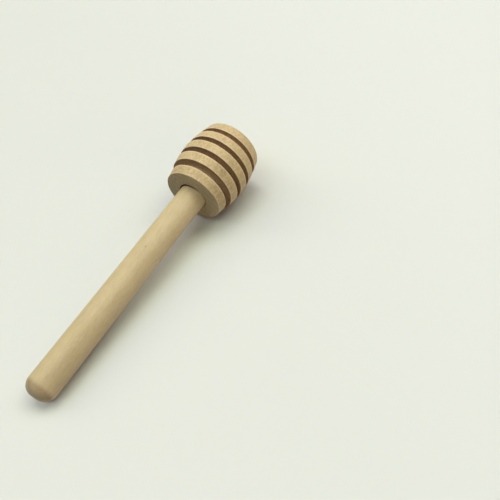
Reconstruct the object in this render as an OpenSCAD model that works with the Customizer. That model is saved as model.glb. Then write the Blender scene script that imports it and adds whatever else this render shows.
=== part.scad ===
// Small wooden honey dipper, lying on its side as it does on a table.
// A barrel-shaped head with ring grooves is bored from its flat shoulder,
// and a round dowel handle is glued into that blind socket.
// Frame: +X from the handle's free end to the tip of the head, +Z up,
// z = 0 is the surface the dipper lies on. The axis rises towards the head,
// because the head is thicker than the handle.

/* [Overall] */
// Length from the handle's free end to the tip of the head
overall_len = 80; // [75:0.5:100]

/* [Head] */
// Length of the grooved head along its axis
head_len = 19.6; // [19:0.1:22]
// Greatest diameter of the head, on its middle land
head_d = 19.2; // [18:0.02:22]
// Diameter of the flat shoulder that faces the handle
shoulder_d = 15.86; // [14:0.02:17]
// Diameter of the first land at the rim of the first groove
first_land_d = 16.6; // [16:0.02:18]
// Diameter that the barrel curve narrows to at the tip
tip_d = 16.16; // [14:0.02:17.6]
// Where the barrel is widest, from the shoulder
belly_pos = 10.1; // [9:0.02:11]
// How round the barrel curve is: 2 is a parabola, less is flatter at the ends
belly_power = 1.74; // [1.6:0.02:2.4]
// Radius of the rounding between the barrel and the flat tip
tip_round = 0.8; // [0.4:0.05:1.2]

/* [Grooves] */
// Number of ring grooves
groove_count = 4; // [2:1:4]
// Width of each groove
groove_w = 1.45; // [1:0.01:1.8]
// Distance from one groove to the next
groove_pitch = 4.08; // [3.6:0.02:4.2]
// Width of the first land, between the shoulder and the first groove
first_land_w = 2.78; // [2:0.02:3]
// Diameter of the groove floors
floor_d = 12.9; // [11:0.1:14]
// Rounding of the rims of the lands
rim_round = 0.14; // [0.05:0.01:0.2]
// Rounding at the bottom corners of the grooves
floor_round = 0.2; // [0.05:0.01:0.3]

/* [Handle] */
// Diameter of the dowel
handle_d = 7.25; // [6.6:0.05:7.6]
// Radius of the rounding at the free end
end_round = 2.9; // [1:0.05:3]

/* [Socket] */
// Clearance between the dowel and the socket wall at the mouth, on radius
socket_gap = 0.14; // [0.08:0.01:0.25]
// Depth of the socket
socket_depth = 12.6; // [12.4:0.1:14]
// Width of the break on the edge of the socket's mouth
mouth_break = 0.16; // [0.05:0.01:0.3]
// How far the glued end of the dowel reaches into the socket
tenon_len = 12; // [8:0.1:12]
// How much the glued end narrows, on radius
tenon_taper = 0.25; // [0.2:0.01:0.4]
// Bevel on the inner end of the dowel
tenon_bevel = 0.5; // [0.2:0.05:0.8]
// How far the glue stays back from the mouth
glue_recess = 1.3; // [0.5:0.1:4]

/* [Hidden] */
$fn = 96;

free_len = overall_len - head_len;   // the bare handle
hr = handle_d / 2;
sr = hr + socket_gap;                // socket radius
taper_from = -0.2;                   // the dowel starts to narrow just outside the mouth
seg = 4;                             // chords in a small rounding

// Radius of the barrel curve at a distance s from the shoulder
function barrel(s) = s <= belly_pos
    ? head_d / 2 - (head_d - shoulder_d) / 2 * pow((belly_pos - s) / belly_pos, belly_power)
    : head_d / 2 - (head_d - tip_d) / 2 * pow((s - belly_pos) / (head_len - belly_pos), belly_power);

// The first land is a plain taper, slimmer than the barrel curve
function land_r(s) = s <= first_land_w
    ? shoulder_d / 2 + (first_land_d - shoulder_d) / 2 * s / first_land_w
    : barrel(s);

function groove_from(i) = first_land_w + i * groove_pitch;
function groove_to(i) = groove_from(i) + groove_w;

// Rounded outer corner at [r, s]; turns from a wall going outwards to a land (rising) or back (falling)
function rim_up(r, s, q) = [for (k = [0 : seg]) let (a = 90 * k / seg) [r - q + q * sin(a), s + q - q * cos(a)]];
function rim_down(r, s, q) = [for (k = [0 : seg]) let (a = 90 * k / seg) [r - q + q * cos(a), s - q + q * sin(a)]];
// Rounded inner corners of a groove floor of radius r, from s0 to s1
function floor_in(r, s0, q) = [for (k = [0 : seg]) let (a = 90 * k / seg) [r + q - q * sin(a), s0 + q - q * cos(a)]];
function floor_out(r, s1, q) = [for (k = [0 : seg]) let (a = 90 * k / seg) [r + q - q * cos(a), s1 - q + q * sin(a)]];

// A land's own slightly crowned surface between two rims
function land_mid(s0, s1) = [for (k = [1 : 3]) let (s = s0 + (s1 - s0) * k / 4) [land_r(s), s]];

head_profile = concat(
    [[0, 0]],
    rim_up(land_r(rim_round), 0, rim_round),
    [for (i = [0 : groove_count - 1])
        for (p = concat(
            i == 0 ? [[land_r(first_land_w / 2), first_land_w / 2]] : [],
            rim_down(land_r(groove_from(i) - rim_round), groove_from(i), rim_round),
            floor_in(floor_d / 2, groove_from(i), floor_round),
            floor_out(floor_d / 2, groove_to(i), floor_round),
            rim_up(barrel(groove_to(i) + rim_round), groove_to(i), rim_round),
            i < groove_count - 1 ? land_mid(groove_to(i), groove_from(i + 1)) : land_mid(groove_to(i), head_len - tip_round)
        )) p],
    [for (k = [0 : 8]) let (a = 90 * k / 8)
        [barrel(head_len - tip_round) - tip_round + tip_round * cos(a), head_len - tip_round + tip_round * sin(a)]],
    [[0, head_len]]
);

function tenon_r(s) = hr - tenon_taper * (s - taper_from) / (tenon_len - taper_from);

handle_profile = concat(
    [[0, -free_len]],
    [for (k = [0 : 12]) let (a = 90 * k / 12)
        [hr - end_round + end_round * sin(a), -free_len + end_round - end_round * cos(a)]],
    [[hr, taper_from],
     [tenon_r(tenon_len - tenon_bevel), tenon_len - tenon_bevel],
     [tenon_r(tenon_len - tenon_bevel) - tenon_bevel, tenon_len],
     [0, tenon_len]]
);

glue_profile = [
    [tenon_r(glue_recess), glue_recess],
    [sr, glue_recess + 0.25],
    [sr, socket_depth],
    [0, socket_depth],
    [0, tenon_len],
    [tenon_r(tenon_len - tenon_bevel) - tenon_bevel, tenon_len],
    [tenon_r(tenon_len - tenon_bevel), tenon_len - tenon_bevel]
];

// Lying pose. The dipper rests on one rim of its head and on the rounding at
// the handle's free end, so the table line touches that rounding from below
// and clears every point of the head's outline.
end_s = -free_len + end_round;
end_r = hr - end_round;                      // centre of the end rounding
function rest_tilt(p) = acos(end_round / norm([p[1] - end_s, p[0] - end_r])) - atan2(p[1] - end_s, p[0] - end_r);
tilt = max([for (p = head_profile) if (p[0] > floor_d / 2 + 1) rest_tilt(p)]);
lift = max([for (p = head_profile) p[0] * cos(tilt) - p[1] * sin(tilt)]);

// The origin is under the middle of the dipper's length
x_hi = max([for (p = head_profile) p[1] * cos(tilt) + p[0] * sin(tilt)]);
x_lo = min([for (p = handle_profile) p[1] * cos(tilt) - p[0] * sin(tilt)]);
shift = -(x_hi + x_lo) / 2;

// Takes a solid built on the Z axis, with the shoulder at z = 0 and the tip
// towards +Z, to its place on the table
module lying() {
    translate([shift, 0, lift]) rotate([0, 90 - tilt, 0]) children();
}

module head() {
    color("burlywood")
    lying() difference() {
        rotate_extrude() polygon(head_profile);
        translate([0, 0, -1]) cylinder(r = sr, h = socket_depth + 1);
        rotate_extrude() polygon([[0, -1], [sr + mouth_break + 1, -1], [sr + mouth_break, 0], [sr - 0.01, mouth_break + 0.01], [0, mouth_break + 0.01]]);
    }
}

module handle() {
    color("tan")
    lying() rotate_extrude() polygon(handle_profile);
}

module glue_film() {
    color("khaki")
    lying() rotate_extrude() polygon(glue_profile);
}

head();
handle();
glue_film();
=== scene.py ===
import math
import random

import bpy
import numpy as np
from mathutils import Matrix, Vector


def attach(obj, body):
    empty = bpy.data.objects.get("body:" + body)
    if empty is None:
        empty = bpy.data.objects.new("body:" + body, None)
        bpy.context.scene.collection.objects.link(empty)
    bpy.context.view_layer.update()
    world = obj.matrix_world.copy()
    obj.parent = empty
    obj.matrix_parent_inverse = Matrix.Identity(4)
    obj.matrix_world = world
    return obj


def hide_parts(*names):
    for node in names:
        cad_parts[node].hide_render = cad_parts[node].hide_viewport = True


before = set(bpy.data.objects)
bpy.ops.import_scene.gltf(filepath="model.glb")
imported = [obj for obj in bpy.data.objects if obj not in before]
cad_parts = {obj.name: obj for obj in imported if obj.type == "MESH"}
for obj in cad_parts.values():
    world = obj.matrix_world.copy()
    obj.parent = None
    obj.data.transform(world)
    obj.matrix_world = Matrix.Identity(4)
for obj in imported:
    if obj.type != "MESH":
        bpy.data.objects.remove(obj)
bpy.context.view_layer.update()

# ---------------------------------------------------------------- sizes, in millimetres, as in the construction
OVERALL, HEAD_LEN, HEAD_D, SHOULDER_D, FIRST_LAND_D, TIP_D = 80.0, 19.6, 19.2, 15.86, 16.6, 16.16
BELLY, POWER, TIP_ROUND = 10.1, 1.74, 0.8
GROOVES, GROOVE_W, PITCH, FIRST_LAND_W, FLOOR_D, RIM, FLOOR_ROUND = 4, 1.45, 4.08, 2.78, 12.9, 0.14, 0.2
HANDLE_D, END_ROUND = 7.25, 2.9
GAP, SOCKET, MOUTH, TENON, TAPER, BEVEL = 0.14, 12.6, 0.16, 12.0, 0.25, 0.5
HR = HANDLE_D / 2
SR = HR + GAP
FREE = OVERALL - HEAD_LEN
TAPER_FROM = -0.2

# the dipper lies on the table: its axis rises towards the head
TILT = math.radians(5.10533)
LIFT, SHIFT = 8.73887, 20.0223
AXIS = Vector((math.cos(TILT), 0.0, math.sin(TILT)))
UP = Vector((-math.sin(TILT), 0.0, math.cos(TILT)))


def barrel(s):
    if s <= BELLY:
        return HEAD_D / 2 - (HEAD_D - SHOULDER_D) / 2 * ((BELLY - s) / BELLY) ** POWER
    return HEAD_D / 2 - (HEAD_D - TIP_D) / 2 * ((s - BELLY) / (HEAD_LEN - BELLY)) ** POWER


def land_r(s):
    if s <= FIRST_LAND_W:
        return SHOULDER_D / 2 + (FIRST_LAND_D - SHOULDER_D) / 2 * s / FIRST_LAND_W
    return barrel(s)


def tenon_r(s):
    return HR - TAPER * (s - TAPER_FROM) / (TENON - TAPER_FROM)


# ---------------------------------------------------------------- smooth seeded noise on vertices
def make_noise(seed, n=64):
    g = np.random.default_rng(seed).random((n, n, n)).astype(np.float32) * 2 - 1

    def f(x, y, z):
        x, y, z = np.asarray(x, float), np.asarray(y, float), np.asarray(z, float)
        xi, yi, zi = np.floor(x).astype(int), np.floor(y).astype(int), np.floor(z).astype(int)
        xf, yf, zf = x - xi, y - yi, z - zi
        xf, yf, zf = xf * xf * (3 - 2 * xf), yf * yf * (3 - 2 * yf), zf * zf * (3 - 2 * zf)
        out = 0
        for dx in (0, 1):
            for dy in (0, 1):
                for dz in (0, 1):
                    w = (xf if dx else 1 - xf) * (yf if dy else 1 - yf) * (zf if dz else 1 - zf)
                    out = out + w * g[(xi + dx) % n, (yi + dy) % n, (zi + dz) % n]
        return out

    return f


noise_a, noise_b = make_noise(11), make_noise(23)


# ---------------------------------------------------------------- turned pieces
def to_row(s, y, u):
    """Axis frame (s along the axis, y across, u up across), mm, to the row frame in metres."""
    p = np.empty((len(s), 3))
    p[:, 0] = (SHIFT + s * AXIS.x + u * UP.x) / 1000
    p[:, 1] = y / 1000
    p[:, 2] = (LIFT + s * AXIS.z + u * UP.z) / 1000
    return p


def turned(name, prof, nseg, shape):
    """A closed solid of revolution. prof is [(s, r, groove, edge)], from the axis back to the axis.
    shape(s, r, th, i) returns displaced (s, r) for the ring points."""
    first, last = prof[0], prof[-1]
    rings = prof[1:-1]
    n = len(rings)
    th = np.arange(nseg) * 2 * math.pi / nseg
    S = np.repeat([p[0] for p in rings], nseg)
    R = np.repeat([p[1] for p in rings], nseg)
    T = np.tile(th, n)
    I = np.repeat(np.arange(n), nseg)
    S2, R2 = shape(S, R, T, I)
    co = to_row(S2, R2 * np.cos(T), R2 * np.sin(T))
    ends = to_row(np.array([first[0], last[0]]), np.zeros(2), np.zeros(2))
    verts = np.vstack([co, ends])
    faces = []
    for i in range(n - 1):
        a, b = i * nseg, (i + 1) * nseg
        for j in range(nseg):
            k = (j + 1) % nseg
            faces.append((a + j, a + k, b + k, b + j))
    e0, e1 = n * nseg, n * nseg + 1
    for j in range(nseg):
        k = (j + 1) % nseg
        faces.append((e0, k, j))
        faces.append((e1, (n - 1) * nseg + j, (n - 1) * nseg + k))
    me = bpy.data.meshes.new(name)
    me.from_pydata(verts.tolist(), [], faces)
    for key, col in (("groove", 2), ("edge", 3)):
        at = me.attributes.new(key, "FLOAT", "POINT")
        v = np.concatenate([np.repeat([p[col] for p in rings], nseg), [first[col], last[col]]]).astype(np.float32)
        at.data.foreach_set("value", v)
    at = me.attributes.new("depth", "FLOAT", "POINT")
    v = np.array([depth_of(p) for p in rings])
    at.data.foreach_set("value", np.concatenate([np.repeat(v, nseg), [0, 0]]).astype(np.float32))
    me.validate()
    me.update()
    import bmesh
    bm = bmesh.new()
    bm.from_mesh(me)
    bmesh.ops.recalc_face_normals(bm, faces=bm.faces)
    bm.to_mesh(me)
    bm.free()
    me.polygons.foreach_set("use_smooth", [True] * len(me.polygons))
    me.update()
    ob = bpy.data.objects.new(name, me)
    bpy.context.scene.collection.objects.link(ob)
    return ob


def depth_of(p):
    s, r, g, e = p
    if g <= 0 or s <= 0:
        return 0.0
    if r <= SR + 0.01:
        return 0.0
    top = land_r(s)
    return min(1.0, max(0.0, (top - r) / (top - FLOOR_D / 2)))


def lerp_pts(a, b, step, skip_first=True):
    (s0, r0, g0, e0), (s1, r1, g1, e1) = a, b
    n = max(1, int(math.ceil(math.hypot(s1 - s0, r1 - r0) / step)))
    return [
        (s0 + (s1 - s0) * k / n, r0 + (r1 - r0) * k / n, g0 + (g1 - g0) * k / n, e0 + (e1 - e0) * k / n)
        for k in range(1 if skip_first else 0, n + 1)
    ]


def head_profile():
    P = [(SOCKET, 0.0, 1, 0), (SOCKET, 1.2, 1, 0), (SOCKET, SR - 0.3, 1, 0), (SOCKET, SR, 1, 0)]
    for s in np.linspace(SOCKET, 1.5, 8)[1:]:
        P.append((float(s), SR, 1, 0))
    for s in (1.1, 0.8, 0.55, 0.35, 0.22):
        P.append((s, SR, 1, 0))
    P.append((MOUTH, SR, 0.9, 0.0))
    P.append((MOUTH * 0.45, SR + MOUTH * 0.5, 0.6, 0.0))
    P.append((0.0, SR + MOUTH, 0.15, 0.0))
    r0 = land_r(RIM)
    P += lerp_pts(P[-1], (0.0, r0 - RIM, 0, 0.1), 0.3)
    NA = 6

    def rim_up(s, r, g_in, g_out, e=1.0):
        return [
            (s + RIM - RIM * math.cos(a), r - RIM + RIM * math.sin(a), g_in + (g_out - g_in) * k / NA, e)
            for k in range(1, NA + 1)
            for a in [math.pi / 2 * k / NA]
        ]

    def rim_down(s, r, g_in, g_out):
        return [
            (s - RIM + RIM * math.sin(a), r - RIM + RIM * math.cos(a), g_in + (g_out - g_in) * k / NA, 1.0)
            for k in range(1, NA + 1)
            for a in [math.pi / 2 * k / NA]
        ]

    def land(s0, s1, step=0.14, near=1.0, last=False):
        n = max(2, int(round((s1 - s0) / step)))
        out = []
        for k in range(1, n + 1):
            s = s0 + (s1 - s0) * k / n
            e = near * min(1.0, max(0.0, 1.25 - (s - s0) / 0.24))
            if not last:
                e = max(e, min(1.0, max(0.0, 1.25 - (s1 - s) / 0.24)))
            out.append((s, land_r(s), 0.0, e))
        return out

    P += rim_up(0.0, r0, 0, 0, 0.25)
    s_from = RIM
    near = 0.25
    for i in range(GROOVES):
        g0 = FIRST_LAND_W + i * PITCH
        g1 = g0 + GROOVE_W
        P += land(s_from, g0 - RIM, near=near)
        near = (0.5, 0.6, 1.0, 1.0)[i]
        ra = land_r(g0 - RIM)
        P += rim_down(g0, ra, 0, 0.6)
        fr = FLOOR_D / 2
        P += lerp_pts(P[-1], (g0, ra - RIM - 0.12, 1, 0.0), 0.06)
        P += lerp_pts(P[-1], (g0, ra - RIM - 0.6, 1, 0.0), 0.12)
        P += lerp_pts(P[-1], (g0, fr + FLOOR_ROUND, 1, 0), 0.25)
        for k in range(1, 4):
            a = math.pi / 2 * k / 3
            P.append((g0 + FLOOR_ROUND - FLOOR_ROUND * math.cos(a), fr + FLOOR_ROUND - FLOOR_ROUND * math.sin(a), 1, 0))
        P += lerp_pts(P[-1], (g1 - FLOOR_ROUND, fr, 1, 0), 0.25)
        for k in range(1, 4):
            a = math.pi / 2 * k / 3
            P.append((g1 - FLOOR_ROUND + FLOOR_ROUND * math.sin(a), fr + FLOOR_ROUND - FLOOR_ROUND * math.cos(a), 1, 0))
        rb = barrel(g1 + RIM)
        P += lerp_pts(P[-1], (g1, rb - RIM - 0.12, 1, 0), 0.2)
        P += lerp_pts(P[-1], (g1, rb - RIM, 0.6, 0.6), 0.06)
        P += rim_up(g1, rb, 0.6, 0, near)
        s_from = g1 + RIM
    P += land(s_from, HEAD_LEN - TIP_ROUND, last=True)
    rt = barrel(HEAD_LEN - TIP_ROUND)
    for k in range(1, 11):
        a = math.pi / 2 * k / 10
        P.append((HEAD_LEN - TIP_ROUND + TIP_ROUND * math.sin(a), rt - TIP_ROUND + TIP_ROUND * math.cos(a), 0, 0))
    P += lerp_pts(P[-1], (HEAD_LEN, 0.25, 0, 0), 0.4)
    P.append((HEAD_LEN, 0.0, 0, 0))
    return P


def handle_profile():
    P = [(-FREE, 0.0, 0, 0), (-FREE, 0.25, 0, 0), (-FREE, (HR - END_ROUND) * 0.6, 0, 0), (-FREE, HR - END_ROUND, 0, 0)]
    for k in range(1, 23):
        a = math.pi / 2 * k / 22
        P.append((-FREE + END_ROUND - END_ROUND * math.cos(a), HR - END_ROUND + END_ROUND * math.sin(a), 0, 0))
    P += lerp_pts(P[-1], (TAPER_FROM, HR, 0, 0), 0.45)
    P += lerp_pts(P[-1], (TENON - BEVEL, tenon_r(TENON - BEVEL), 0, 0), 0.8)
    P += lerp_pts(P[-1], (TENON, tenon_r(TENON - BEVEL) - BEVEL, 0, 0), 0.4)
    P += lerp_pts(P[-1], (TENON, 0.3, 0, 0), 0.8)
    P.append((TENON, 0.0, 0, 0))
    return P


HP = head_profile()
HPR = HP[1:-1]
HS = np.array([p[0] for p in HPR])
HRR = np.array([p[1] for p in HPR])
HG = np.array([p[2] for p in HPR])
HE = np.array([p[3] for p in HPR])

# small chips and soft dents along the rims of the lands
rng = random.Random(5)
rims = [0.0]
for i in range(GROOVES):
    rims += [FIRST_LAND_W + i * PITCH, FIRST_LAND_W + i * PITCH + GROOVE_W]
chips = []
for s in rims:
    for _ in range(9):
        chips.append((s, rng.uniform(0, 2 * math.pi), rng.uniform(0.10, 0.28), rng.uniform(0.015, 0.05)))
    chips.append((s, rng.uniform(0, 2 * math.pi), rng.uniform(0.16, 0.34), rng.uniform(0.06, 0.11)))


def head_shape(S, R, T, I):
    g, e = HG[I], HE[I]
    y, u = R * np.cos(T), R * np.sin(T)
    outside = (R > SR + MOUTH + 0.02)
    on_land = outside & (g < 0.01) & (S > 0.02) & (S < HEAD_LEN - 0.02)
    low = (1 + noise_a(S * 0.22 + 3, y * 0.22, u * 0.22)) * 0.5
    fine = (1 + noise_b(S * 0.5, y * 1.6 + 9, u * 1.6)) * 0.5
    dr = np.where(on_land, 0.018 * low + 0.007 * fine, 0.0)
    wall = outside & (g > 0.3)
    ds = np.where(wall, 0.02 * noise_a(y * 0.9 + 5, u * 0.9, S * 2.0) + 0.012 * noise_b(y * 3.1, u * 3.1, S), 0.0)
    rough_floor = wall & (R < FLOOR_D / 2 + 0.05)
    dr = dr + np.where(rough_floor, 0.03 * (1 + noise_b(S * 1.5, T * 9, R)) * 0.5, 0.0)
    # turned rings and slight unevenness on the flat shoulder and tip: only ever into the wood
    sh = outside & (S < 1e-6)
    ds = ds + np.where(sh, 0.006 * (1 + np.sin(R * 17.0)) + 0.016 * (1 + noise_b(y * 0.7, u * 0.7, 4.0)) * 0.5, 0.0)
    tp = outside & (S > HEAD_LEN - 1e-6)
    ds = ds - np.where(tp, 0.005 * (1 + np.sin(R * 13.0)) + 0.014 * (1 + noise_a(y * 0.6, u * 0.6, 7.0)) * 0.5, 0.0)
    for s0, t0, w, d in chips:
        dt = (T - t0 + math.pi) % (2 * math.pi) - math.pi
        k = np.exp(-((dt * R / w) ** 2) - ((S - s0) / 0.22) ** 2)
        dr = dr + np.where(outside & (R > FLOOR_D / 2 + 0.8), d * k, 0.0)
    # the socket was bored a hair off centre: the gap round the handle is wider on one side
    mouth = (R > SR - 0.01) & (R < SR + MOUTH + 0.02)
    off = np.where(mouth, (0.115 + 0.5 * (R - SR)) * np.clip(1 - S / 1.6, 0, 1) * np.cos(T - BORE_SIDE), 0.0)
    dr = dr - off
    inset = np.where(outside, 0.004, 0.0)
    ds = ds + np.where(sh, 0.004, 0.0) - np.where(tp | (S > HEAD_LEN - TIP_ROUND), 0.004, 0.0)
    return S + ds, R - dr - inset


BORE_SIDE = math.radians(44)
head = turned("dipper_head", HP, 272, head_shape)

KP = handle_profile()[1:-1]


def handle_shape(S, R, T, I):
    y, u = R * np.cos(T), R * np.sin(T)
    free = (S < TAPER_FROM + 0.01)
    low = (1 + noise_a(S * 0.09 + 20, y * 0.25, u * 0.25)) * 0.5
    fine = (1 + noise_b(S * 0.18, y * 1.9, u * 1.9 + 7)) * 0.5
    dr = np.where(free & (R > 0.3), 0.014 * low + 0.006 * fine, 0.0)
    for s0, t0, w, l, d in dents:
        dt = (T - t0 + math.pi) % (2 * math.pi) - math.pi
        dr = dr + np.where(free, d * np.exp(-((dt * R / w) ** 2) - ((S - s0) / l) ** 2), 0.0)
    S = S + np.where(S < -FREE + END_ROUND, 0.004, 0.0)
    return S, R - (dr + np.where(free, 0.004, 0.0)) * np.clip(R / 2.0, 0, 1)


rng2 = random.Random(8)
dents = [
    (rng2.uniform(-FREE + 3, -2), rng2.uniform(0, 2 * math.pi), rng2.uniform(0.2, 0.5), rng2.uniform(0.5, 1.6), rng2.uniform(0.01, 0.035))
    for _ in range(26)
]
handle = turned("dipper_handle", handle_profile(), 256, handle_shape)


# ---------------------------------------------------------------- materials
def new_mat(name):
    m = bpy.data.materials.new(name)
    m.use_nodes = True
    nt = m.node_tree
    nt.nodes.clear()
    return m, nt


class Nodes:
    """Short calls for building a node tree."""

    def __init__(self, nt):
        self.nt = nt

    def n(self, kind, **props):
        x = self.nt.nodes.new(kind)
        for k, v in props.items():
            setattr(x, k, v)
        return x

    def link(self, a, b):
        self.nt.links.new(a, b)

    def put(self, sock, v):
        if hasattr(v, "is_output"):
            self.link(v, sock)
        else:
            sock.default_value = v

    def math(self, op, a, b=None, c=None, clamp=False):
        x = self.n("ShaderNodeMath", operation=op, use_clamp=clamp)
        self.put(x.inputs[0], a)
        if b is not None:
            self.put(x.inputs[1], b)
        if c is not None:
            self.put(x.inputs[2], c)
        return x.outputs[0]

    def vmath(self, op, a, b=None, scale=None):
        x = self.n("ShaderNodeVectorMath", operation=op)
        self.put(x.inputs[0], a)
        if b is not None:
            self.put(x.inputs[1], b)
        if scale is not None:
            self.put(x.inputs["Scale"], scale)
        return x.outputs["Value"] if op in ("DOT_PRODUCT", "LENGTH", "DISTANCE") else x.outputs["Vector"]

    def remap(self, v, a, b, c=0.0, d=1.0, smooth=False):
        x = self.n("ShaderNodeMapRange")
        x.clamp = True
        if smooth:
            x.interpolation_type = "SMOOTHSTEP"
        self.put(x.inputs["Value"], v)
        x.inputs["From Min"].default_value = a
        x.inputs["From Max"].default_value = b
        x.inputs["To Min"].default_value = c
        x.inputs["To Max"].default_value = d
        return x.outputs["Result"]

    def noise(self, vec, scale=1.0, detail=2.0, rough=0.5, dist=0.0):
        x = self.n("ShaderNodeTexNoise")
        self.put(x.inputs["Vector"], vec)
        x.inputs["Scale"].default_value = scale
        x.inputs["Detail"].default_value = detail
        x.inputs["Roughness"].default_value = rough
        x.inputs["Distortion"].default_value = dist
        return x.outputs["Fac"]

    def mix(self, fac, a, b, mode="MIX"):
        x = self.n("ShaderNodeMix", data_type="RGBA", blend_type=mode)
        self.put(x.inputs["Factor"], fac)
        self.put(x.inputs["A"], a)
        self.put(x.inputs["B"], b)
        return x.outputs["Result"]

    def attr(self, name):
        x = self.n("ShaderNodeAttribute", attribute_name=name)
        return x.outputs["Fac"]


def axis_coords(k):
    """Object coordinates turned into the dipper's own axis frame, in millimetres: x along the grain."""
    tc = k.n("ShaderNodeTexCoord")
    a = k.vmath("SUBTRACT", tc.outputs["Object"], (SHIFT / 1000, 0.0, LIFT / 1000))
    a = k.vmath("SCALE", a, scale=1000.0)
    x = k.vmath("DOT_PRODUCT", a, tuple(AXIS))
    y = k.vmath("DOT_PRODUCT", a, (0.0, 1.0, 0.0))
    z = k.vmath("DOT_PRODUCT", a, tuple(UP))
    return x, y, z


def combine(k, x, y, z):
    c = k.n("ShaderNodeCombineXYZ")
    k.put(c.inputs[0], x)
    k.put(c.inputs[1], y)
    k.put(c.inputs[2], z)
    return c.outputs[0]


def combine_rgb(k, r, g, b):
    c = k.n("ShaderNodeCombineColor")
    k.put(c.inputs[0], r)
    k.put(c.inputs[1], g)
    k.put(c.inputs[2], b)
    return c.outputs[0]


# all surfaces are a little darker than their look, and the light brighter, so less light creeps into the corners
ALBEDO = 0.72


def scaled(c, f):
    return tuple(min(1.0, a * b) for a, b in zip(c, f)) + (1,)


def shade(c):
    return scaled(c, (ALBEDO, ALBEDO, ALBEDO))


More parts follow.
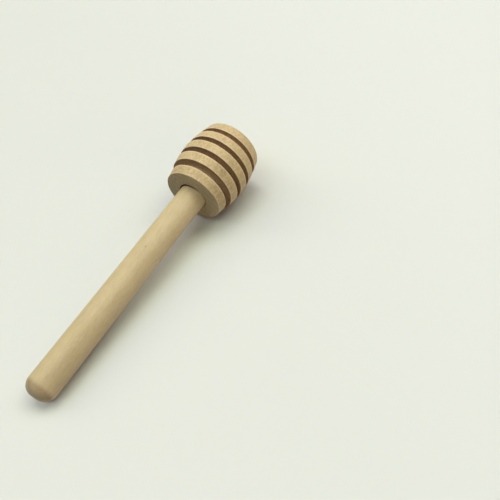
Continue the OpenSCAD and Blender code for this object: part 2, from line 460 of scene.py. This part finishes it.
def wood(name, base, seed, pith, slope, ring_mm, grade, amounts, end, rough, spec, hues, tone_and_shade_patches, head_piece):
    """Pale turned hardwood. base: mean colour; grade: (s0, factor0, s1, factor1) along the piece;
    amounts: ring, mottle, streak, fibre, fleck, pore; end: (from, to, two rgb factors) for end grain, on the head one
    side of the shoulder lighter as painted light;
    hues: two tints and the strength of the blotches; patches: the wood's own tone and painted shade and light at single
    places."""
    ring_a, mottle_a, streak_a, fibre_a, fleck_a, pore_a = amounts
    base = shade(base)[:3]
    short = 2.1 if head_piece else 1.0
    m, nt = new_mat(name)
    k = Nodes(nt)
    x, y, z = axis_coords(k)
    ys, zs = k.math("ADD", y, seed * 3.7), k.math("ADD", z, seed * -5.1)

    def along(fx, fyz, ox=0.0):
        return combine(k, k.math("MULTIPLY_ADD", x, fx, ox), k.math("MULTIPLY", ys, fyz), k.math("MULTIPLY", zs, fyz))

    def signed(v, amount):
        return k.math("MULTIPLY", k.math("SUBTRACT", v, 0.5), amount)

    # growth rings round a pith outside the piece
    wob = signed(k.noise(along(0.05, 0.11), 1.0, 2.0), 4.0)
    py = k.math("ADD", k.math("SUBTRACT", y, pith[0]), k.math("MULTIPLY", x, slope[0]))
    pz = k.math("ADD", k.math("SUBTRACT", z, pith[1]), k.math("MULTIPLY", x, slope[1]))
    d = k.math("ADD", k.vmath("LENGTH", combine(k, 0.0, py, pz)), wob)
    ph = k.math("FRACT", k.math("DIVIDE", d, ring_mm))
    late = k.math("MULTIPLY", k.remap(ph, 0.35, 0.92, 0, 1, True), k.remap(ph, 0.94, 1.0, 1, 0, True))
    mott = k.noise(along(0.10, 0.30, 3.0), 1.0, 2.0, 0.5)
    streak = k.noise(along(0.42 * short, 2.1), 1.0, 3.0, 0.6)
    fib = k.noise(along(0.8 * short, 5.2, 7.0), 1.0, 3.0, 0.6)
    fleck = k.remap(k.noise(along(1.15 * short, 3.1, 2.0), 1.0, 1.0, 0.5), 0.56, 0.72, 0, 1, True)
    pore = k.remap(k.noise(along(0.75 * short, 5.0, 5.0), 1.0, 1.0, 0.5), 0.62, 0.74, 0, 1, True)
    hair = k.noise(along(0.55, 11.0, 23.0), 1.0, 2.0, 0.6)
    t = signed(streak, 2.2 * streak_a)
    t = k.math("ADD", t, signed(hair, 0.46 if head_piece else 0.22))
    t = k.math("ADD", t, signed(fib, 2.2 * fibre_a))
    t = k.math("ADD", t, signed(mott, 2.4 * mottle_a))
    t = k.math("SUBTRACT", t, k.math("MULTIPLY", k.math("SUBTRACT", late, 0.3), ring_a))
    t = k.math("ADD", t, k.math("MULTIPLY", fleck, fleck_a))
    t = k.math("SUBTRACT", t, k.math("MULTIPLY", pore, pore_a))
    hue = k.noise(along(0.45 * short, 1.2, 11.0), 1.0, 2.0, 0.5)
    if not head_piece:
        # on the handle the tint turns pinker toward the side away from the light: a painted shade tint
        hue = k.math("ADD", hue, k.remap(y, -3.4, 1.0, -0.13, 0.08))
    blotch = k.noise(along(0.26 * short, 1.25, 19.0), 1.0, 2.0, 0.55)
    t = k.math("ADD", t, signed(blotch, hues[2]))
    # tone of single places, partly the wood's own tone and partly painted shade and painted light: darker on the side
    # away from the light and next to the joint, lighter on the lit side; (s, direction in degrees, half length, half
    # width, change)
    for ps, pd, pl, pw, pv in tone_and_shade_patches:
        a = math.radians(pd)
        ds = k.math("DIVIDE", k.math("SUBTRACT", x, ps), pl)
        rr = 8.5 if head_piece else HR
        dc = k.math("DIVIDE", k.vmath("LENGTH", combine(k, 0.0, k.math("SUBTRACT", y, rr * math.cos(a)), k.math("SUBTRACT", z, rr * math.sin(a)))), pw)
        q = k.math("ADD", k.math("MULTIPLY", ds, ds), k.math("MULTIPLY", dc, dc))
        t = k.math("ADD", t, k.math("MULTIPLY", k.math("EXPONENT", k.math("MULTIPLY", q, -1.0)), pv))
    s0, f0, s1, f1 = grade
    t = k.math("ADD", t, k.remap(x, s0, s1, f0 - 1, f1 - 1))
    gain = k.math("ADD", t, 1.0)
    # darker wood is also warmer
    warm = k.remap(t, -0.35, 0.35, 1.0, 0.0)
    tint = k.mix(warm, (0.985, 1.0, 1.045, 1), (1.015, 0.985, 0.93, 1))
    tint2 = k.mix(k.remap(hue, 0.38, 0.62, 0, 1), (*hues[0], 1), (*hues[1], 1))
    col = k.mix(1.0, (*base, 1), tint, "MULTIPLY")
    col = k.mix(1.0, col, tint2, "MULTIPLY")
    col = k.mix(1.0, col, combine_rgb(k, gain, gain, gain), "MULTIPLY")
    # end grain drinks light: darker and warmer where the surface cuts across the fibres
    geo = k.n("ShaderNodeNewGeometry")
    nd = k.math("ABSOLUTE", k.vmath("DOT_PRODUCT", geo.outputs["Normal"], tuple(AXIS)))
    spots = k.noise(along(0.4, 4.5, 1.0), 1.0, 3.0, 0.6)
    nd = k.math("ADD", nd, signed(spots, 0.12))
    if not head_piece:
        turn = k.math("ADD", k.math("MULTIPLY", y, math.cos(END_TURN) / HR), k.math("MULTIPLY", z, math.sin(END_TURN) / HR))
        nd = k.math("ADD", nd, k.math("MULTIPLY_ADD", turn, 0.17, -0.09))
    endg = k.remap(nd, end[0], end[1], 0, 1, True)
    ef = k.math("ADD", 1.0, signed(spots, 0.26))
    ef = k.math("SUBTRACT", ef, k.math("MULTIPLY", k.math("SUBTRACT", late, 0.3), k.remap(x, 2.0, 16.0, 0.07 if head_piece else 0.18, 0.20)))
    dots = k.remap(k.noise(along(0.3, 6.5, 41.0), 1.0, 1.0, 0.5), 0.58, 0.70, 0, 1, True)
    ef = k.math("SUBTRACT", ef, k.math("MULTIPLY", dots, k.remap(x, 2.0, 16.0, 0.05 if head_piece else 0.12, 0.14)))
    # on the head: end grain lighter toward the tip and next to the socket, and the shoulder lighter toward its bottom,
    # which is painted light from the table
    if head_piece:
        ef = k.math("MULTIPLY", ef, k.remap(x, 2.0, 16.0, 1.0, 1.22))
        rad = k.vmath("LENGTH", combine(k, 0.0, y, z))
        ef = k.math("MULTIPLY", ef, k.remap(rad, 4.1, 6.4, 1.19, 1.01, True))
        ef = k.math("MULTIPLY", ef, k.remap(z, -2.5, -7.0, 1.0, 1.14))
    # the shoulder's end grain is lighter on its lower -y side than on its upper +y side: painted light
    side = k.math("ADD", k.math("MULTIPLY", y, 0.94), k.math("MULTIPLY", z, 0.34))
    if head_piece:
        ecol = k.mix(k.remap(side, -6.5, 6.5, 0, 1), (*end[3], 1), (*end[2], 1))
    else:
        ecol = k.mix(k.remap(nd, 0.35, 0.9, 0, 1), (*end[2], 1), (*end[3], 1))
    ecol = k.mix(1.0, ecol, combine_rgb(k, ef, ef, ef), "MULTIPLY")
    cast = k.noise(along(0.3, 0.55, 53.0), 1.0, 2.0, 0.5)
    ecol = k.mix(1.0, ecol, k.mix(k.remap(cast, 0.38, 0.62, 0, 1), (1.04, 0.985, 1.03, 1), (0.965, 1.01, 0.95, 1)), "MULTIPLY")
    endcol = k.mix(1.0, col, ecol, "MULTIPLY")
    col = k.mix(endg, col, endcol)
    height_extra = None
    if head_piece:
        g = k.attr("groove")
        depth = k.attr("depth")
        sc = k.noise(along(2.4, 1.1, 13.0), 1.0, 3.0, 0.6)
        # groove walls and floors: end grain, painted darkest near the rim as painted shade, and painted lighter deeper
        # down as painted light against the shade there
        low = k.mix(depth, shade(GROOVE_TOP_SHADE), shade(GROOVE_DEEP_LIFT))
        low = k.mix(k.remap(depth, 0.90, 0.99, 0, 1), low, shade(GROOVE_FLOOR))
        hatch = k.noise(along(1.6, 2.0, 31.0), 1.0, 2.0, 0.65)
        lf = k.math("ADD", k.math("ADD", 1.0, signed(sc, 0.7)), signed(hatch, 1.4))
        lf = k.math("MULTIPLY", lf, k.remap(x, 3.0, 16.5, 0.90, 1.20))
        low = k.mix(1.0, low, k.mix(k.remap(hue, 0.35, 0.65, 0, 1), (1.14, 0.92, 0.94, 1), (1.03, 1.02, 0.82, 1)), "MULTIPLY")
        low = k.mix(1.0, low, combine_rgb(k, lf, lf, lf), "MULTIPLY")
        col = k.mix(g, col, low)
        # painted shade in the socket: the bore round the handle is painted near black
        sock = k.math("MULTIPLY", k.math("MULTIPLY", k.remap(rad, 4.12, 4.22, 1, 0), k.remap(x, 0.02, 0.12, 0, 1)), k.remap(x, 13.0, 14.0, 1, 0))
        col = k.mix(sock, col, scaled(base, (0.12, 0.09, 0.06)))
        # pale rims on the lands: partly worn edges, partly a painted highlight where the edges catch the light
        e = k.attr("edge")
        wear_and_highlight = k.remap(k.noise(along(0.9, 1.3, 17.0), 1.0, 2.0, 0.6), 0.3, 0.65, 0.45, 1.0)
        ef2 = k.math("MULTIPLY", k.math("MULTIPLY", e, k.math("SUBTRACT", 1.0, g, clamp=True)), k.math("MULTIPLY", wear_and_highlight, EDGE_WEAR_AND_HIGHLIGHT))
        col = k.mix(ef2, col, scaled(base, (1.37, 1.385, 1.70)))
    else:
        # painted shade in the gap where the handle goes into the head: the handle is painted near black within the
        # socket and just before it, strongest where the gap is widest
        turn = k.math("ADD", k.math("MULTIPLY", y, math.cos(BORE_SIDE) / HR), k.math("MULTIPLY", z, math.sin(BORE_SIDE) / HR))
        gap_shade = k.math("MULTIPLY", k.remap(x, -0.26, 0.0, 0, 1, True), k.remap(turn, -0.25, 0.75, 0.0, 0.92, True))
        col = k.mix(gap_shade, col, scaled(base, (0.12, 0.09, 0.06)))
        # one tiny dark speck on the upper side
        a = math.radians(100)
        sp = k.vmath("LENGTH", combine(k, k.math("ADD", x, 20.13), k.math("SUBTRACT", y, HR * math.cos(a)), k.math("SUBTRACT", z, HR * math.sin(a))))
        col = k.mix(k.remap(sp, 0.09, 0.24, 0.7, 0, True), col, scaled(base, (0.45, 0.30, 0.22)))
    bs = k.n("ShaderNodeBsdfPrincipled")
    k.link(col, bs.inputs["Base Color"])
    ro = k.math("ADD", k.remap(fib, 0.3, 0.7, rough - 0.07, rough + 0.09), k.math("MULTIPLY", endg, 0.12))
    k.link(ro, bs.inputs["Roughness"])
    bs.inputs["Specular IOR Level"].default_value = spec
    # relief of the fibres and pores
    h = k.math("MULTIPLY", fib, 0.5)
    h = k.math("ADD", h, k.math("MULTIPLY", streak, 0.4))
    h = k.math("ADD", h, k.math("MULTIPLY", hair, 0.35))
    h = k.math("SUBTRACT", h, k.math("MULTIPLY", pore, 0.8))
    h = k.math("ADD", h, k.math("MULTIPLY", k.math("MULTIPLY", endg, spots), 0.8))
    bp = k.n("ShaderNodeBump")
    bp.inputs["Strength"].default_value = 0.55
    bp.inputs["Distance"].default_value = 0.00005
    k.link(h, bp.inputs["Height"])
    k.link(bp.outputs["Normal"], bs.inputs["Normal"])
    out = k.n("ShaderNodeOutputMaterial")
    k.link(bs.outputs["BSDF"], out.inputs["Surface"])
    return m


END_TURN = math.radians(80)
# groove colours near the rim, deeper down and on the floor: painted shade near the rim, painted light deeper down
GROOVE_TOP_SHADE = (0.25, 0.147, 0.062)
GROOVE_DEEP_LIFT = (0.60, 0.445, 0.25)
GROOVE_FLOOR = (0.50, 0.415, 0.28)
# strength of the pale rims: partly worn edges, partly painted highlight
EDGE_WEAR_AND_HIGHLIGHT = 0.95

head_wood = wood(
    "head_wood", (0.647, 0.492, 0.270), 1.0, (16.0, -21.0), (0.05, -0.03), 1.9, (0.0, 0.95, 19.0, 1.10),
    (0.05, 0.09, 0.31, 0.42, 0.20, 0.30), (0.55, 0.95, (0.535, 0.558, 0.556), (0.646, 0.666, 0.674)), 0.6, 0.3,
    ((1.025, 0.985, 1.04), (1.01, 1.01, 0.91), 0.26),
    # tone and painted shade and light at single places
    [(1.4, 158, 1.6, 4.0, -0.13), (1.4, 60, 1.6, 3.0, -0.12), (9.7, 126, 1.5, 3.0, 0.10), (17.6, 128, 1.6, 3.5, 0.06),
     (5.6, 180, 2.5, 3.0, -0.06), (9.6, 180, 1.6, 2.5, -0.09), (13.9, 180, 1.6, 2.5, -0.08), (6.3, 137, 0.9, 1.5, -0.08),
     (5.7, 136, 1.2, 1.6, -0.10), (9.7, 142, 1.0, 1.6, -0.10), (9.6, 103, 1.2, 1.5, 0.06), (14.0, 124, 1.2, 1.5, 0.06),
     (1.53, 122, 0.6, 0.6, -0.12), (0.9, 140, 0.7, 1.2, -0.08)], True)
handle_wood = wood(
    "handle_wood", (0.651, 0.517, 0.303), 4.0, (-18.0, 30.0), (-0.02, 0.015), 2.3, (-60.0, 0.96, -5.0, 1.07),
    (0.03, 0.08, 0.08, 0.11, 0.04, 0.08), (0.03, 0.42, (0.695, 0.632, 0.617), (0.667, 0.665, 0.674)), 0.5, 0.3,
    ((1.012, 0.989, 1.03), (0.996, 1.002, 0.945), 0.11),
    # tone and painted shade and light at single places
    [(-57.0, 130, 5.0, 3.2, -0.07), (-53.0, 150, 7.0, 2.6, -0.04), (-40.0, 152, 7.0, 2.4, -0.03), (-9.0, 140, 5.0, 3.0, 0.03), (-2.4, 112, 3.0, 4.5, -0.08)], False)
head.data.materials.append(head_wood)
handle.data.materials.append(handle_wood)


def glue_material():
    m, nt = new_mat("cured_glue")
    k = Nodes(nt)
    x, y, z = axis_coords(k)
    n = k.noise(combine(k, x, y, z), 0.9, 3.0, 0.6)
    col = k.mix(n, shade((0.62, 0.46, 0.22)), shade((0.46, 0.32, 0.14)))
    bs = k.n("ShaderNodeBsdfPrincipled")
    k.link(col, bs.inputs["Base Color"])
    k.link(k.remap(n, 0.3, 0.7, 0.28, 0.45), bs.inputs["Roughness"])
    bp = k.n("ShaderNodeBump")
    bp.inputs["Strength"].default_value = 0.6
    bp.inputs["Distance"].default_value = 0.00006
    k.link(n, bp.inputs["Height"])
    k.link(bp.outputs["Normal"], bs.inputs["Normal"])
    out = k.n("ShaderNodeOutputMaterial")
    k.link(bs.outputs["BSDF"], out.inputs["Surface"])
    return m


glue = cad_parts["glue_film"]
gm = glue_material()
if glue.material_slots:
    for sl in glue.material_slots:
        sl.material = gm
else:
    glue.data.materials.append(gm)

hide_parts("head")
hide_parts("handle")
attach(head, "root")
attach(handle, "root")


# ---------------------------------------------------------------- table
def floor_material():
    m, nt = new_mat("table_white")
    k = Nodes(nt)
    tc = k.n("ShaderNodeTexCoord")
    n = k.noise(tc.outputs["Object"], 30.0, 2.0, 0.5)
    sep = k.n("ShaderNodeSeparateXYZ")
    k.link(tc.outputs["Object"], sep.inputs[0])
    # painted light: the table turns lighter toward +x and -y
    far_light = k.remap(k.math("SUBTRACT", sep.outputs[0], k.math("MULTIPLY", sep.outputs[1], 0.5)), -0.02, 0.18, 0, 1, True)
    col = k.mix(n, shade((0.805, 0.81, 0.79)), shade((0.82, 0.825, 0.805)))
    col = k.mix(far_light, col, shade((0.865, 0.87, 0.855)))
    bs = k.n("ShaderNodeBsdfPrincipled")
    k.link(col, bs.inputs["Base Color"])
    bs.inputs["Roughness"].default_value = 0.8
    bs.inputs["Specular IOR Level"].default_value = 0.2
    # seen from below, the table is out of the way
    geo = k.n("ShaderNodeNewGeometry")
    clear = k.n("ShaderNodeBsdfTransparent")
    both = k.n("ShaderNodeMixShader")
    k.link(geo.outputs["Backfacing"], both.inputs[0])
    k.link(bs.outputs["BSDF"], both.inputs[1])
    k.link(clear.outputs["BSDF"], both.inputs[2])
    out = k.n("ShaderNodeOutputMaterial")
    k.link(both.outputs[0], out.inputs["Surface"])
    return m


me = bpy.data.meshes.new("table")
F = 1.5
me.from_pydata([(-F, -F, -2e-5), (F, -F, -2e-5), (F, F, -2e-5), (-F, F, -2e-5)], [], [(0, 1, 2, 3)])
table = bpy.data.objects.new("table", me)
bpy.context.scene.collection.objects.link(table)
table.data.materials.append(floor_material())

# ---------------------------------------------------------------- light
scene = bpy.context.scene
scene.view_settings.view_transform = "Standard"
scene.view_settings.look = "None"
scene.view_settings.exposure = 0.0
scene.view_settings.gamma = 1.0

world = bpy.data.worlds.new("studio")
scene.world = world
world.use_nodes = True
wn = world.node_tree
wn.nodes.clear()
dim = wn.nodes.new("ShaderNodeBackground")
dim.inputs["Color"].default_value = (0.98, 1.0, 0.90, 1)
dim.inputs["Strength"].default_value = 0.002
# what is seen past the edge of the table is as pale as the table, and lights nothing
pale = wn.nodes.new("ShaderNodeBackground")
pale.inputs["Color"].default_value = (0.80, 0.825, 0.72, 1)
pale.inputs["Strength"].default_value = 1.0
path = wn.nodes.new("ShaderNodeLightPath")
swap = wn.nodes.new("ShaderNodeMixShader")
wn.links.new(path.outputs["Is Camera Ray"], swap.inputs[0])
wn.links.new(dim.outputs[0], swap.inputs[1])
wn.links.new(pale.outputs[0], swap.inputs[2])
wo = wn.nodes.new("ShaderNodeOutputWorld")
wn.links.new(swap.outputs[0], wo.inputs["Surface"])

# a wide, soft ceiling of light, weakest on the camera's side: azimuth and height in degrees, strength
SOFT = [
    (0, 74, (0.073, 0.051, 0.106)), (45, 74, (0.806, 0.895, 0.613)), (0, 60, (0.503, 0.472, 0.505)), (36, 60, (0.0, 0.0, 0.09)),
    (72, 60, (0.301, 0.283, 0.405)), (144, 60, (0.349, 0.382, 0.371)), (180, 60, (0.51, 0.53, 0.271)), (324, 60, (0.782, 0.817, 0.53)),
    (36, 45, (0.105, 0.077, 0.152)), (72, 45, (0.109, 0.064, 0.07)), (108, 45, (0.37, 0.413, 0.308)), (144, 45, (0.227, 0.206, 0.343)),
    (180, 45, (0.0, 0.081, 0.251)), (324, 45, (0.347, 0.326, 0.402)), (72, 30, (0.143, 0.166, 0.0)), (108, 30, (0.43, 0.405, 0.408)),
    (252, 30, (0.262, 0.223, 0.140)), (225, 14, (0.246, 0.206, 0.243)), (270, 14, (0.165, 0.132, 0.055)),
]
for i, (az, el, rgb) in enumerate(SOFT):
    lamp = bpy.data.lights.new("soft_%d" % i, "SUN")
    power = max(rgb)
    lamp.energy = power
    lamp.angle = math.radians(26)
    lamp.color = tuple(c / power for c in rgb)
    ob = bpy.data.objects.new("soft_%d" % i, lamp)
    scene.collection.objects.link(ob)
    a, e = math.radians(az), math.radians(el)
    ob.rotation_mode = "QUATERNION"
    ob.rotation_quaternion = Vector((math.cos(e) * math.cos(a), math.cos(e) * math.sin(a), math.sin(e))).to_track_quat("Z", "Y")

# ---------------------------------------------------------------- camera
cam = bpy.data.cameras.new("camera")
cam.sensor_fit = "HORIZONTAL"
cam.sensor_width = 36.0
cam.lens = 530.0 / 500.0 * 36.0
cam.clip_start = 0.005
cam.clip_end = 10.0
co = bpy.data.objects.new("camera", cam)
scene.collection.objects.link(co)
right = Vector((0.5082654, -0.8597283, -0.0503346))
up = Vector((0.6893379, 0.3711056, 0.6221687))
fwd = Vector((0.5162165, 0.3509244, -0.7812634))
rot = Matrix((right, up, -fwd)).transposed()
co.matrix_world = Matrix.Translation(Vector((-53.0156, -66.0847, 106.5805)) / 1000) @ rot.to_4x4()
scene.camera = co

# ---------------------------------------------------------------- last update of the scene
bpy.context.view_layer.update()
